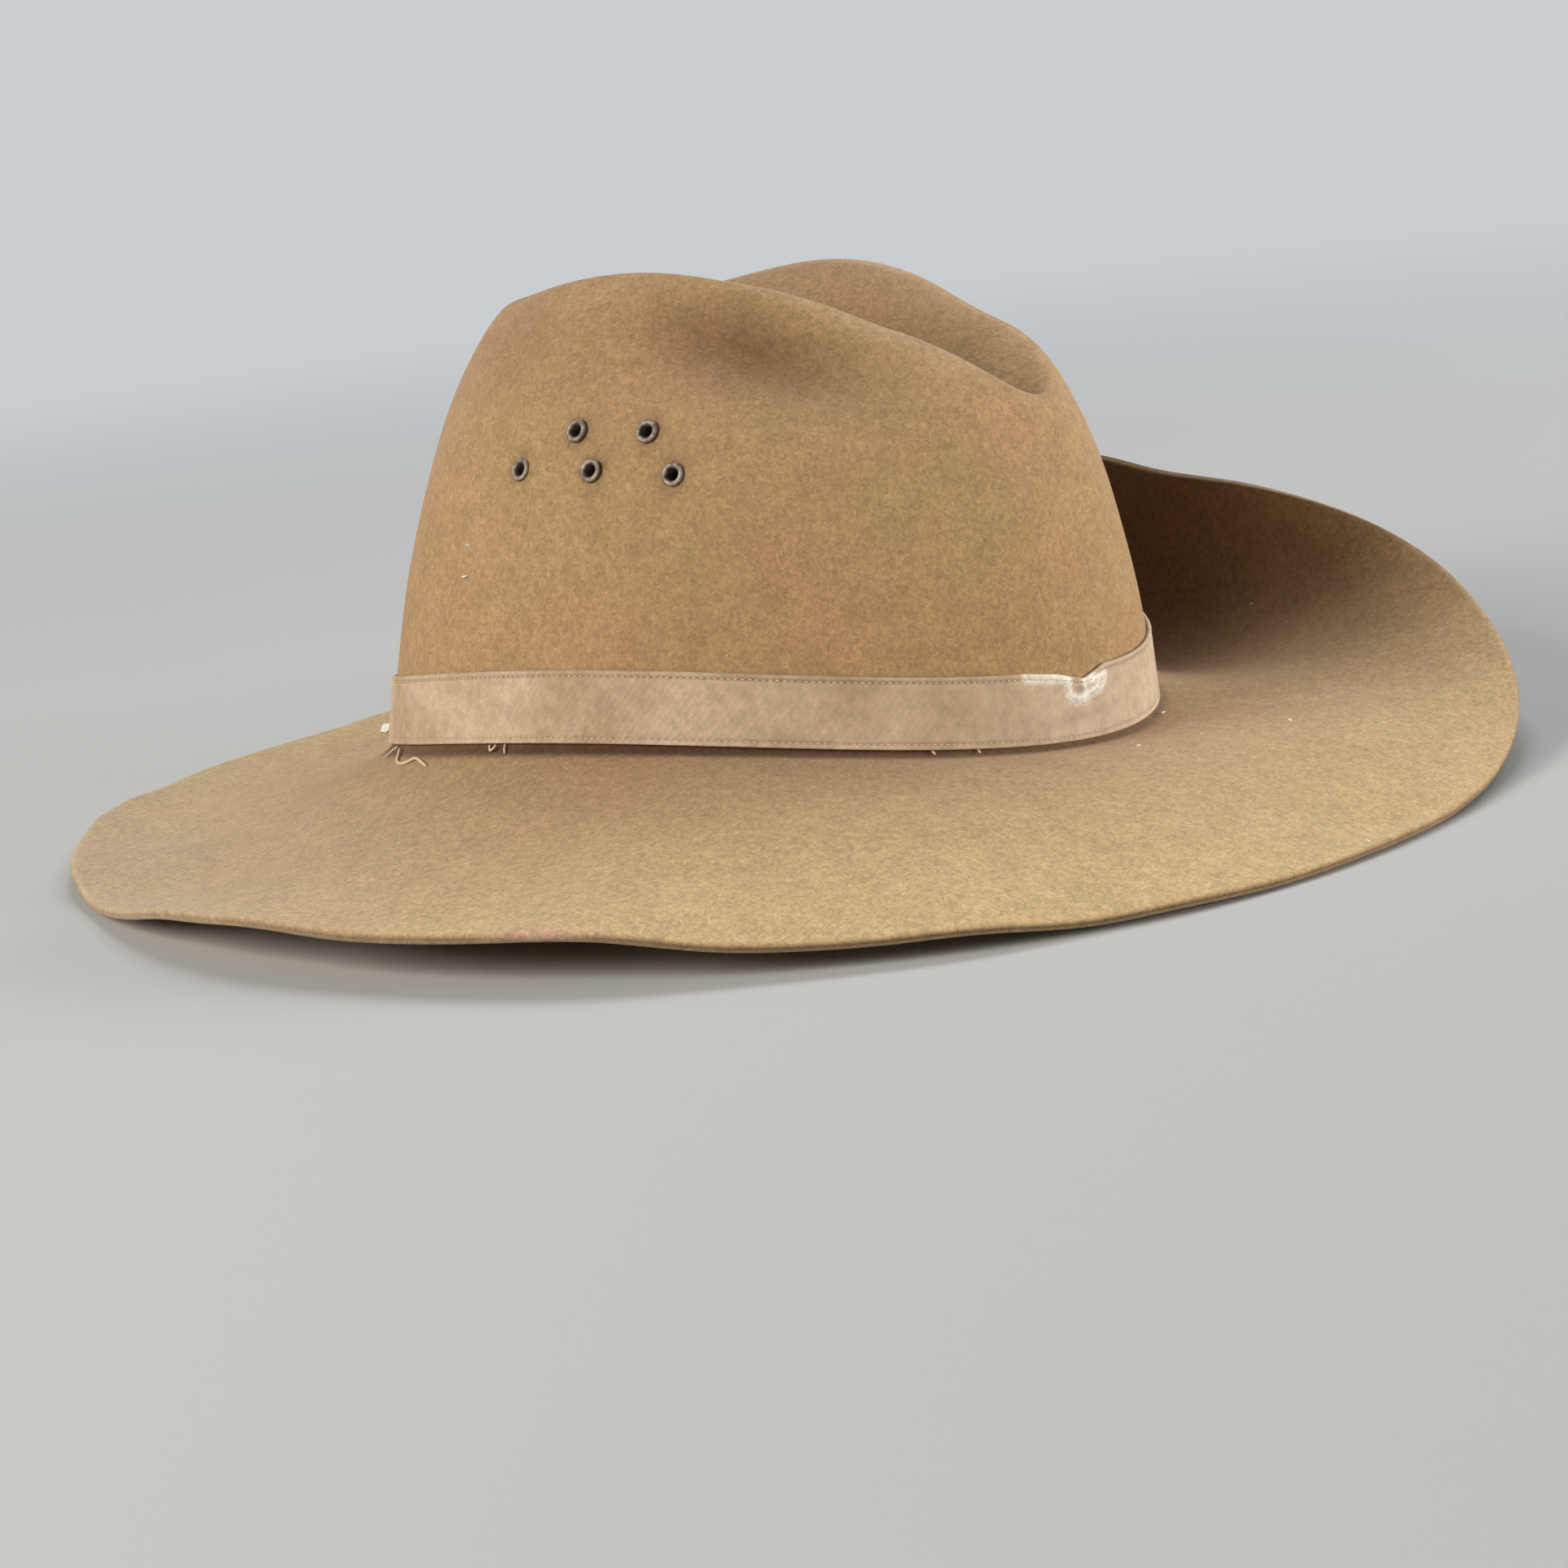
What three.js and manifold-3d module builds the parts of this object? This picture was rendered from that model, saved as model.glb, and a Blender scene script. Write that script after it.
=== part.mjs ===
// Slouch hat: one blocked felt body with a creased crown and a soft brim, a sewn cloth band
// and vent eyelets. Millimetres, +Z up, +X to the wearer's front, +Y to the wearer's left.
import * as THREE from 'three';
import { mergeVertices } from 'three/addons/utils/BufferGeometryUtils.js';
import Module from 'manifold-3d';

const wasm = await Module();
wasm.setup();

// Felt
const headLength = 201;
const headWidth = 165;
const feltThickness = 2.2;
const brimWidth = 86.5;
const rootFillet = 2;

// Crown
const crownHeight = 111;
const crestLength = 150;
const crestWidth = 74;
const crestForward = 11;
const creaseDepth = 24;
const creaseEndDepth = 3;
const slitShare = 0.9;

// Band
const bandHeight = 16.8;
const bandThickness = 1;
const bandSeat = 1.2;

// Vent eyelets
const eyeletFlangeRadius = 2.9;
const eyeletBarrelRadius = 2.1;
const eyeletHoleRadius = 1.5;
const eyeletFlangeThickness = 0.5;
const clearance = 0.3;
const innerClearance = 0.5;

// How the hat rests: the slopes of the surface under it in the hat's own axes, and how deep its
// lowest felt is pressed
const surfaceSlopes = { forwardSlope: -0.003, leftwardSlope: 0.045 };
const pressDepth = 1.5;

// Facets
const turnSteps = 72;
const eyeletSides = 12;
const brimShares = [1, 0.975, 0.93, 0.86, 0.77, 0.66, 0.54, 0.42, 0.3, 0.19, 0.1];
const wallShares = [0.06, 0.13, 0.2, 0.27, 0.34, 0.42, 0.51, 0.61, 0.71, 0.81, 0.91];
const topShares = [1, 0.9, 0.76, 0.6, 0.42, 0.22, 0];

// Head oval: its rise and fall as shares of the head's length
const ovalWaves = { saddleShare: -0.029, twistShare: -0.002 };

// Brim, every 30 degrees from the front round by the left: degrees of slope at root and rim
const brimSections = [
  { root: 0, rim: -20 },
  { root: -6, rim: 14 },
  { root: -44, rim: 108 },
  { root: -39, rim: 115 },
  { root: -31, rim: 49 },
  { root: -24, rim: 13 },
  { root: -24, rim: 2 },
  { root: -31, rim: -26 },
  { root: -35, rim: 2 },
  { root: -26, rim: 1 },
  { root: -12, rim: -20 },
  { root: -6, rim: -22 },
];

// Waves in the rim: where, how wide and how far they turn it up, in degrees
const rimWaves = [
  { at: 203, spread: 16, lift: 30 },
  { at: 219, spread: 11, lift: 16 },
  { at: 269, spread: 13, lift: -7 },
];

// Crown, every 45 degrees from the front round by the left: the crest's height as a share of
// the crown's, the wall's lean inwards in degrees, how far up the wall stays straight, and how
// full its shoulder is
const crownSections = [
  { height: 0.675, lean: -0.5, straight: 0.54, shoulder: 0.18 },
  { height: 0.823, lean: 1.7, straight: 0.61, shoulder: 0.25 },
  { height: 0.966, lean: 5.6, straight: 0.85, shoulder: 0.43 },
  { height: 0.908, lean: 12, straight: 0.97, shoulder: 0.12 },
  { height: 0.884, lean: 11, straight: 0.84, shoulder: 0.07 },
  { height: 0.962, lean: 8.5, straight: 0.82, shoulder: 0.03 },
  { height: 1, lean: 9.5, straight: 0.87, shoulder: 0.02 },
  { height: 0.843, lean: 0, straight: 0.79, shoulder: 0.44 },
];

// Soft dents in the crown's sides: where, how high and how wide, with levels and depth as
// shares of the crown's height
const crownDents = [
  { at: 283, level: 0.87, spread: 14, levelSpread: 0.08, depth: 0.055 },
  { at: 297, level: 0.83, spread: 14, levelSpread: 0.08, depth: 0.08 },
  { at: 311, level: 0.755, spread: 14, levelSpread: 0.085, depth: 0.065 },
  { at: 66, level: 0.82, spread: 24, levelSpread: 0.13, depth: 0.045 },
];

// Eyelets on the wearer's right: where round the crown, and their height above the brim as a
// share of the crown's
const eyeletPlaces = [
  { at: 265.5, level: 0.646 },
  { at: 279, level: 0.64 },
  { at: 255.25, level: 0.576 },
  { at: 270, level: 0.564 },
  { at: 284.75, level: 0.556 },
];

const UP = new THREE.Vector3(0, 0, 1);
const radians = THREE.MathUtils.degToRad;

function column(table, name) {
  return table.map((row) => row[name]);
}

// Smooth closed curve through evenly spaced values, read at a turn from 0 to 1
function around(values, turn) {
  const count = values.length;
  const place = (((turn % 1) + 1) % 1) * count;
  const index = Math.floor(place);
  const f = place - index;
  const [a, b, c, d] = [-1, 0, 1, 2].map((step) => values[(index + step + count) % count]);
  const linear = (c - a) * f;
  const square = (2 * a - 5 * b + 4 * c - d) * f ** 2;
  const cube = (3 * b - a - 3 * c + d) * f ** 3;
  return b + (linear + square + cube) / 2;
}

// Bell-shaped weight of a wave or dent at a turn
function bell(turn, at, spread) {
  const away = ((turn * 360 - at + 540) % 360) - 180;
  return Math.exp(-((away / spread) ** 2));
}

// Direction square to the head oval, level and outwards
function outward(turn) {
  const angle = turn * 2 * Math.PI;
  const x = Math.cos(angle) / headLength;
  const y = Math.sin(angle) / headWidth;
  return new THREE.Vector3(x, y, 0).normalize();
}

// Line where the crown meets the brim
function rootPoint(turn) {
  const angle = turn * 2 * Math.PI;
  const saddle = ovalWaves.saddleShare * Math.cos(2 * angle);
  const twist = ovalWaves.twistShare * Math.sin(2 * angle);
  const x = (headLength / 2) * Math.cos(angle);
  const y = (headWidth / 2) * Math.sin(angle);
  return new THREE.Vector3(x, y, headLength * (saddle + twist));
}

// Brim section: a strip bent to an arc, whose slope goes evenly from its root's to its rim's
function brimPoint(turn, share) {
  const root = around(column(brimSections, 'root'), turn);
  let rim = around(column(brimSections, 'rim'), turn);
  for (const wave of rimWaves) {
    rim += wave.lift * bell(turn, wave.at, wave.spread);
  }
  const halfBend = radians((rim - root) * share) / 2;
  const chord = Math.abs(halfBend) < 1e-6 ? 1 : Math.sin(halfBend) / halfBend;
  const length = brimWidth * share * chord;
  const slope = radians(root) + halfBend;
  const point = rootPoint(turn).addScaledVector(outward(turn), length * Math.cos(slope));
  return point.addScaledVector(UP, length * Math.sin(slope));
}

// Ridge line round the top of the crown
function crestPoint(turn) {
  const angle = turn * 2 * Math.PI;
  const height = crownHeight * around(column(crownSections, 'height'), turn);
  const x = crestForward + (crestLength / 2) * Math.cos(angle);
  return new THREE.Vector3(x, (crestWidth / 2) * Math.sin(angle), height);
}

// How far a side dent pushes the crown in, at a turn and a level above the brim
function dentDepth(turn, level) {
  let depth = 0;
  for (const dent of crownDents) {
    const rise = Math.exp(-(((level - dent.level) / dent.levelSpread) ** 2));
    depth += crownHeight * dent.depth * bell(turn, dent.at, dent.spread) * rise;
  }
  return depth;
}

function dented(point, turn) {
  return point.addScaledVector(outward(turn), -dentDepth(turn, point.z / crownHeight));
}

// Crown wall: a curve from the root up along the leaning side and over the shoulder to the crest
function wallPoint(turn, share) {
  const root = rootPoint(turn);
  const crest = crestPoint(turn);
  const rise = crest.z - root.z;
  const lean = around(column(crownSections, 'lean'), turn);
  const straight = around(column(crownSections, 'straight'), turn);
  const shoulder = around(column(crownSections, 'shoulder'), turn);
  const corner = root.clone().addScaledVector(UP, rise);
  corner.addScaledVector(outward(turn), -rise * Math.tan(radians(lean)));
  const low = root.clone().lerp(corner, straight);
  const high = crest.clone().lerp(corner, shoulder);
  return dented(new THREE.CubicBezierCurve3(root, low, high, crest).getPoint(share), turn);
}

// Top of the crown: ovals nested inside the crest, down to a slit along the crease's floor
function topPoint(turn, share) {
  const crest = crestPoint(turn);
  const mirrored = crestPoint(1 - turn);
  const along = (crest.x - crestForward) / (crestLength / 2);
  const depth = creaseEndDepth + (creaseDepth - creaseEndDepth) * (1 - along ** 2);
  const floor = (crest.z + mirrored.z) / 2 - depth;
  const x = crestForward + (crest.x - crestForward) * (slitShare + (1 - slitShare) * share);
  const z = floor + (crest.z - floor) * share ** 2 * (3 - 2 * share);
  const point = new THREE.Vector3(x, crest.y * share, z);
  return point.lerp(dented(point.clone(), turn), share);
}

// Share of the wall at a height above the root, found by halving
function wallShareAt(turn, height) {
  let low = 0;
  let high = 1;
  for (let step = 0; step < 30; step += 1) {
    const middle = (low + high) / 2;
    if (wallPoint(turn, middle).z - rootPoint(turn).z < height) low = middle;
    else high = middle;
  }
  return low;
}

// Section of the felt's upper side at a turn, from the rim to the crease's floor
function feltSection(turn) {
  const brimEnd = brimPoint(turn, rootFillet / brimWidth);
  const wallStart = wallPoint(turn, wallShareAt(turn, rootFillet));
  const fillet = new THREE.QuadraticBezierCurve3(brimEnd, rootPoint(turn), wallStart);
  return [
    ...brimShares.map((share) => brimPoint(turn, share)),
    ...[0, 0.5, 1].map((share) => fillet.getPoint(share)),
    ...wallShares.map((share) => wallPoint(turn, share)),
    ...topShares.map((share) => topPoint(turn, share)),
  ];
}

function meshGeometry(points, faces) {
  const geometry = new THREE.BufferGeometry().setFromPoints(points);
  geometry.setIndex(faces.flat());
  return geometry;
}

// Faces between two neighbouring rows of a closed grid
function rowFaces(lower, upper) {
  const faces = [];
  for (let step = 0; step < lower.length; step += 1) {
    const next = (step + 1) % lower.length;
    faces.push([lower[step], lower[next], upper[next]], [lower[step], upper[next], upper[step]]);
  }
  return faces.filter(([a, b, c]) => a !== b && b !== c && c !== a);
}

// Upper side of the felt as points and rows of point numbers. The last row is the slit, where
// the two sides of the crease share their points.
function feltSurface() {
  const sections = Array.from({ length: turnSteps }, (_, step) => feltSection(step / turnSteps));
  const rowCount = sections[0].length;
  const points = [];
  const rows = [];
  for (let row = 0; row < rowCount; row += 1) {
    const isSlit = row === rowCount - 1;
    const first = points.length;
    const kept = isSlit ? turnSteps / 2 + 1 : turnSteps;
    points.push(...sections.slice(0, kept).map((section) => section[row]));
    const mirrored = (step) => Math.min(step, turnSteps - step);
    rows.push(sections.map((_, step) => first + (isSlit ? mirrored(step) : step)));
  }
  return { points, rows };
}

// Points moved along their own normals by a distance
function offsetPoints(points, faces, distance) {
  const geometry = meshGeometry(points, faces);
  geometry.computeVertexNormals();
  const normals = geometry.getAttribute('normal');
  return points.map((point, index) => {
    const normal = new THREE.Vector3().fromBufferAttribute(normals, index);
    return point.clone().addScaledVector(normal, distance);
  });
}

const { forwardSlope, leftwardSlope } = surfaceSlopes;
const surfaceNormal = new THREE.Vector3(-forwardSlope, -leftwardSlope, 1).normalize();

// Presses the felt onto the surface that it rests on: where the underside would reach below
// that surface, both sides move up by as much
function pressOntoSurface(upper, under) {
  const heights = under.map((point) => point.dot(surfaceNormal));
  const surface = Math.min(...heights) + pressDepth;
  heights.forEach((height, index) => {
    const lift = Math.max(surface - height, 0);
    upper[index].addScaledVector(surfaceNormal, lift);
    under[index].addScaledVector(surfaceNormal, lift);
  });
}

function feltShell() {
  const { points, rows } = feltSurface();
  const faces = rows.slice(1).flatMap((upper, index) => rowFaces(rows[index], upper));
  const under = offsetPoints(points, faces, -feltThickness);
  pressOntoSurface(points, under);
  const shift = points.length;
  const underFaces = faces.map(([a, b, c]) => [a + shift, c + shift, b + shift]);
  const rimFaces = rowFaces(rows[0].map((index) => index + shift), rows[0]);
  return meshGeometry([...points, ...under], [...faces, ...underFaces, ...rimFaces]);
}

// Place and direction of an eyelet: on the wall's outer side, square to it
function eyeletFrame({ at, level }) {
  const turn = at / 360;
  const share = wallShareAt(turn, level * crownHeight);
  const step = 0.002;
  const point = wallPoint(turn, share);
  const aroundWall = wallPoint(turn + step, share).sub(point);
  const upWall = wallPoint(turn, share + step).sub(point);
  const normal = aroundWall.cross(upWall).normalize();
  const rotation = new THREE.Quaternion().setFromUnitVectors(new THREE.Vector3(0, 1, 0), normal);
  return { point, rotation };
}

function toManifold(geometry) {
  const bare = geometry.clone();
  bare.deleteAttribute('normal');
  bare.deleteAttribute('uv');
  const merged = mergeVertices(bare, 1e-5);
  return new wasm.Manifold(new wasm.Mesh({
    numProp: 3,
    vertProperties: Float32Array.from(merged.getAttribute('position').array),
    triVerts: Uint32Array.from(merged.index.array),
  }));
}

function fromManifold(solid) {
  const { vertProperties, triVerts } = solid.getMesh();
  const geometry = new THREE.BufferGeometry();
  const positions = Float32Array.from(vertProperties);
  geometry.setAttribute('position', new THREE.BufferAttribute(positions, 3));
  geometry.setIndex(Array.from(triVerts));
  return geometry;
}

// Felt body: the shell with a punched hole for each eyelet
function feltBodyGeometry() {
  const holeRadius = eyeletBarrelRadius + clearance;
  const punch = new THREE.CylinderGeometry(holeRadius, holeRadius, feltThickness * 6, eyeletSides);
  let solid = toManifold(feltShell());
  for (const place of eyeletPlaces) {
    const { point, rotation } = eyeletFrame(place);
    const hole = punch.clone().applyQuaternion(rotation).translate(point.x, point.y, point.z);
    solid = solid.subtract(toManifold(hole));
  }
  return fromManifold(solid);
}

// Band: a tape that follows the wall, a clearance off the felt
function bandGeometry() {
  const levels = [0, 0.5, 1];
  const inner = clearance;
  const outer = clearance + bandThickness;
  const outline = [
    ...levels.map((level) => ({ level, off: outer })),
    ...levels.toReversed().map((level) => ({ level, off: inner })),
  ];
  const points = [];
  const rows = [];
  for (const { level, off } of outline) {
    const row = [];
    for (let step = 0; step < turnSteps; step += 1) {
      const turn = step / turnSteps;
      const share = wallShareAt(turn, bandSeat + bandHeight * level);
      row.push(points.length);
      points.push(wallPoint(turn, share).addScaledVector(outward(turn), off));
    }
    rows.push(row);
  }
  const faces = rows.flatMap((row, index) => rowFaces(row, rows[(index + 1) % rows.length]));
  return meshGeometry(points, faces);
}

// Eyelet: a rolled flange on each side of the felt and a barrel through it, turned round Y
function eyeletGeometry() {
  const face = clearance;
  const top = face + eyeletFlangeThickness;
  const back = -feltThickness - innerClearance;
  const bottom = back - eyeletFlangeThickness;
  const profile = [
    [eyeletHoleRadius, bottom],
    [eyeletFlangeRadius, bottom],
    [eyeletFlangeRadius, back],
    [eyeletBarrelRadius, back],
    [eyeletBarrelRadius, face],
    [eyeletFlangeRadius, face],
    [eyeletFlangeRadius - eyeletFlangeThickness / 2, top],
    [eyeletHoleRadius, top],
    [eyeletHoleRadius, bottom],
  ];
  return new THREE.LatheGeometry(profile.map(([x, y]) => new THREE.Vector2(x, y)), eyeletSides);
}

function namedMesh(name, geometry, material) {
  const mesh = new THREE.Mesh(geometry, material);
  mesh.name = name;
  return mesh;
}

const felt = new THREE.MeshStandardMaterial({ color: 0xae8e64, roughness: 0.95, metalness: 0 });
const tape = new THREE.MeshStandardMaterial({ color: 0xcbad90, roughness: 0.9, metalness: 0 });
const metal = new THREE.MeshStandardMaterial({ color: 0x8a7a66, roughness: 0.4, metalness: 1 });

const hat = new THREE.Group();
hat.add(namedMesh('felt_body', feltBodyGeometry(), felt));
hat.add(namedMesh('hat_band', bandGeometry(), tape));
eyeletPlaces.forEach((place, index) => {
  const { point, rotation } = eyeletFrame(place);
  const eyelet = namedMesh(`vent_eyelet_${index + 1}`, eyeletGeometry(), metal);
  eyelet.position.copy(point);
  eyelet.quaternion.copy(rotation);
  hat.add(eyelet);
});

// The hat leans as it rests, and the origin is under the middle of its box
hat.quaternion.setFromUnitVectors(surfaceNormal, UP);
hat.updateMatrixWorld(true);
const box = new THREE.Box3().setFromObject(hat, true);
const middle = box.getCenter(new THREE.Vector3());
const resting = new THREE.Group();
resting.add(hat);
resting.position.set(-middle.x, -middle.y, -box.min.z);

export default resting;
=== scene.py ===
"""Looks of a felt slouch hat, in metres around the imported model. Sizes below are millimetres."""

import bpy
import numpy as np
from mathutils import Matrix, Vector


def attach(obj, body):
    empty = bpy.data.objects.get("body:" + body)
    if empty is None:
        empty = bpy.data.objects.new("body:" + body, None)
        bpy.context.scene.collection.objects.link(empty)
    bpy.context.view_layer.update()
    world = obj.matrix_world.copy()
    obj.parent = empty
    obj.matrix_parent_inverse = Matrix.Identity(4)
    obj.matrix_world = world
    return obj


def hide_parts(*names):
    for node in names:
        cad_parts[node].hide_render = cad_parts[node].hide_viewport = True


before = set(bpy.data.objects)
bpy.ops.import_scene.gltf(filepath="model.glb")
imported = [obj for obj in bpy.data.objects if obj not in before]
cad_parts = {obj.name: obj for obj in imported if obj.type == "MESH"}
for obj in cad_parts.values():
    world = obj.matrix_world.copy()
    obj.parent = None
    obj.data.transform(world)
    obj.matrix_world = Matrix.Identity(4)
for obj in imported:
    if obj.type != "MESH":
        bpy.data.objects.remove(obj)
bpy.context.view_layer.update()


# Felt body: crown and brim are one piece of fur felt about 2.2 mm thick, blocked with steam to
# an oval crown with a creased top and a wide brim. The rim is a raw cut edge, and nothing
# stiffens it, so the brim waves at the back and rolls up on the left.

HEAD_LENGTH = 201
HEAD_WIDTH = 165
FELT_THICKNESS = 2.2
BRIM_WIDTH = 86.5
ROOT_FILLET = 2
CROWN_HEIGHT = 111
CREST_LENGTH = 150
CREST_WIDTH = 74
CREST_FORWARD = 11
CREASE_DEPTH = 24
CREASE_END_DEPTH = 3
SLIT_SHARE = 0.9
OVAL_SADDLE = -0.029
OVAL_TWIST = -0.002

# The hat's own axes lean over the surface that it rests on, by these slopes
LEAN_FORWARDS = -0.003
LEAN_LEFTWARDS = 0.045
HAT_ORIGIN = Vector((-0.108, 8.682, 21.967))

# Brim, every 30 degrees from the front round by the left: degrees of slope at root and rim
BRIM_ROOT = [0, -6, -44, -39, -31, -24, -24, -31, -35, -26, -12, -6]
BRIM_RIM = [-20, 14, 108, 115, 49, 13, 2, -26, 2, 1, -20, -22]

# Waves in the rim: where, how wide and how far they turn it up, in degrees
RIM_WAVES = [(203, 16, 30), (219, 11, 16), (269, 13, -7)]

# Crown, every 45 degrees from the front round by the left
CREST_HEIGHT = [0.675, 0.823, 0.966, 0.908, 0.884, 0.962, 1, 0.843]
WALL_LEAN = [-0.5, 1.7, 5.6, 12, 11, 8.5, 9.5, 0]
WALL_STRAIGHT = [0.54, 0.61, 0.85, 0.97, 0.84, 0.82, 0.87, 0.79]
WALL_SHOULDER = [0.18, 0.25, 0.43, 0.12, 0.07, 0.03, 0.02, 0.44]

# Soft dents in the crown's sides: where, level, width round and up, and depth
CROWN_DENTS = [
    (283, 0.87, 14, 0.08, 0.055),
    (297, 0.83, 14, 0.08, 0.08),
    (311, 0.755, 14, 0.085, 0.065),
    (66, 0.82, 24, 0.13, 0.045),
]


def around(values, turn):
    """Smooth closed curve through evenly spaced values (Catmull-Rom), read at turns of 0 to 1."""
    place = (turn % 1) * len(values)
    index = np.floor(place).astype(int)
    f = place - index
    a, b, c, d = (np.take(values, (index + step) % len(values)) for step in (-1, 0, 1, 2))
    linear = (c - a) * f
    square = (2 * a - 5 * b + 4 * c - d) * f**2
    cube = (3 * b - a - 3 * c + d) * f**3
    return b + (linear + square + cube) / 2


def bell(turn, at, spread):
    """Bell curve over the angle away from a place, both in degrees: exp(-(away / spread)^2)."""
    away = (turn * 360 - at + 180) % 360 - 180
    return np.exp(-((away / spread) ** 2))


def outward(turn):
    """Level direction square to the head oval, (cos / length, sin / width) made one long."""
    x = np.cos(2 * np.pi * turn) / HEAD_LENGTH
    y = np.sin(2 * np.pi * turn) / HEAD_WIDTH
    size = np.hypot(x, y)
    return np.stack([x / size, y / size, 0 * x], axis=-1)


def root_point(turn):
    """Line where crown meets brim: an oval that rises and falls twice in a turn."""
    angle = 2 * np.pi * turn
    wave = OVAL_SADDLE * np.cos(2 * angle) + OVAL_TWIST * np.sin(2 * angle)
    x = HEAD_LENGTH / 2 * np.cos(angle)
    y = HEAD_WIDTH / 2 * np.sin(angle)
    return np.stack([x, y, HEAD_LENGTH * wave], axis=-1)


def brim_point(turn, share):
    """Strip bent to an arc: its chord is width * share * sin(h) / h along the root's slope plus
    h, where h is half of the bend so far."""
    root = around(BRIM_ROOT, turn)
    rim = around(BRIM_RIM, turn) + sum(lift * bell(turn, at, wide) for at, wide, lift in RIM_WAVES)
    half_bend = np.radians((rim - root) * share) / 2
    length = BRIM_WIDTH * share * np.sinc(half_bend / np.pi)
    slope = np.radians(root) + half_bend
    level = (length * np.cos(slope))[..., None] * outward(turn)
    return root_point(turn) + level + (length * np.sin(slope))[..., None] * [0, 0, 1]


def crest_point(turn):
    """Ridge round the top of the crown: an oval whose height follows CREST_HEIGHT."""
    x = CREST_FORWARD + CREST_LENGTH / 2 * np.cos(2 * np.pi * turn)
    y = CREST_WIDTH / 2 * np.sin(2 * np.pi * turn)
    return np.stack([x, y, CROWN_HEIGHT * around(CREST_HEIGHT, turn)], axis=-1)


def dented(point, turn):
    """Moves wall points inwards by a bell curve round and up from the middle of each dent."""
    level = point[..., 2] / CROWN_HEIGHT
    depth = 0 * level
    for at, height, wide, tall, deep in CROWN_DENTS:
        rise = np.exp(-(((level - height) / tall) ** 2))
        depth = depth + CROWN_HEIGHT * deep * bell(turn, at, wide) * rise
    return point - depth[..., None] * outward(turn)


def wall_point(turn, share):
    """Cubic Bezier curve from the root up the leaning side and over the shoulder to the crest."""
    root = root_point(turn)
    crest = crest_point(turn)
    rise = crest[..., 2:] - root[..., 2:]
    lean = np.tan(np.radians(around(WALL_LEAN, turn)))[..., None]
    corner = root + rise * ([0, 0, 1] - lean * outward(turn))
    low = root + (corner - root) * around(WALL_STRAIGHT, turn)[..., None]
    high = crest + (corner - crest) * around(WALL_SHOULDER, turn)[..., None]
    s = np.asarray(share)[..., None]
    curve = (1 - s) ** 3 * root + 3 * (1 - s) ** 2 * s * low + 3 * (1 - s) * s**2 * high + s**3 * crest
    return dented(curve, turn)


def top_point(turn, share):
    """Ovals nested inside the crest, down to a slit: height is floor + rise * (3 s^2 - 2 s^3)."""
    crest = crest_point(turn)
    mirrored = crest_point(1 - turn)
    along = (crest[..., 0] - CREST_FORWARD) / (CREST_LENGTH / 2)
    depth = CREASE_END_DEPTH + (CREASE_DEPTH - CREASE_END_DEPTH) * (1 - along**2)
    floor = (crest[..., 2] + mirrored[..., 2]) / 2 - depth
    x = CREST_FORWARD + (crest[..., 0] - CREST_FORWARD) * (SLIT_SHARE + (1 - SLIT_SHARE) * share)
    z = floor + (crest[..., 2] - floor) * share**2 * (3 - 2 * share)
    point = np.stack([x, crest[..., 1] * share, z], axis=-1)
    return point + (dented(point, turn) - point) * np.asarray(share)[..., None]


def wall_share_at(turn, height):
    """Share of the wall at a height above the root, found by halving."""
    low = 0 * turn * height
    high = low + 1
    for _ in range(24):
        middle = (low + high) / 2
        below = wall_point(turn, middle)[..., 2] - root_point(turn)[..., 2] < height
        low = np.where(below, middle, low)
        high = np.where(below, high, middle)
    return low


def grid_faces(rows, closed):
    """Quads between neighbouring rows of point numbers, and round to the first column if closed."""
    after = np.roll(rows, -1, axis=1)
    quads = np.stack([rows[:-1], after[:-1], after[1:], rows[1:]], axis=-1)
    return (quads if closed else quads[:, :-1]).reshape(-1, 4)


def point_normals(points, faces):
    """Sum of the cross products of each face's diagonals at its corners, made one long."""
    corners = points[faces]
    cross = np.cross(corners[:, 2] - corners[:, 0], corners[:, 3] - corners[:, 1])
    total = np.zeros_like(points)
    for corner in range(4):
        np.add.at(total, faces[:, corner], cross)
    return total / np.maximum(np.linalg.norm(total, axis=1, keepdims=True), 1e-12)


lean_normal = Vector((-LEAN_FORWARDS, -LEAN_LEFTWARDS, 1)).normalized()
REST_TURN = np.array(lean_normal.rotation_difference(Vector((0, 0, 1))).to_matrix())


def to_frame(points):
    """The hat's own millimetres turned as it rests, moved into the frame, in metres."""
    return (points @ REST_TURN.T + np.array(HAT_ORIGIN)) / 1000


def make_piece(name, points, faces, material, masks):
    """A smooth mesh object from arrays of points and faces, which rides on the frame. Each mask
    is a named value at every point, for the material."""
    used, numbers = np.unique(faces, return_inverse=True)
    mesh = bpy.data.meshes.new(name)
    mesh.from_pydata(points[used], [], numbers.reshape(faces.shape))
    mesh.shade_smooth()
    for mask_name, values in masks.items():
        layer = mesh.attributes.new(mask_name, "FLOAT", "POINT")
        layer.data.foreach_set("value", values[used])
    piece = bpy.data.objects.new(name, mesh)
    bpy.context.scene.collection.objects.link(piece)
    mesh.materials.append(material)
    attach(piece, "root")
    return piece


def linear(code):
    """An sRGB hex colour as linear red, green, blue and alpha."""
    values = np.array([int(code[place:place + 2], 16) for place in (1, 3, 5)]) / 255
    low = values / 12.92
    high = ((values + 0.055) / 1.055) ** 2.4
    return (*np.where(values <= 0.04045, low, high), 1)


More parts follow.
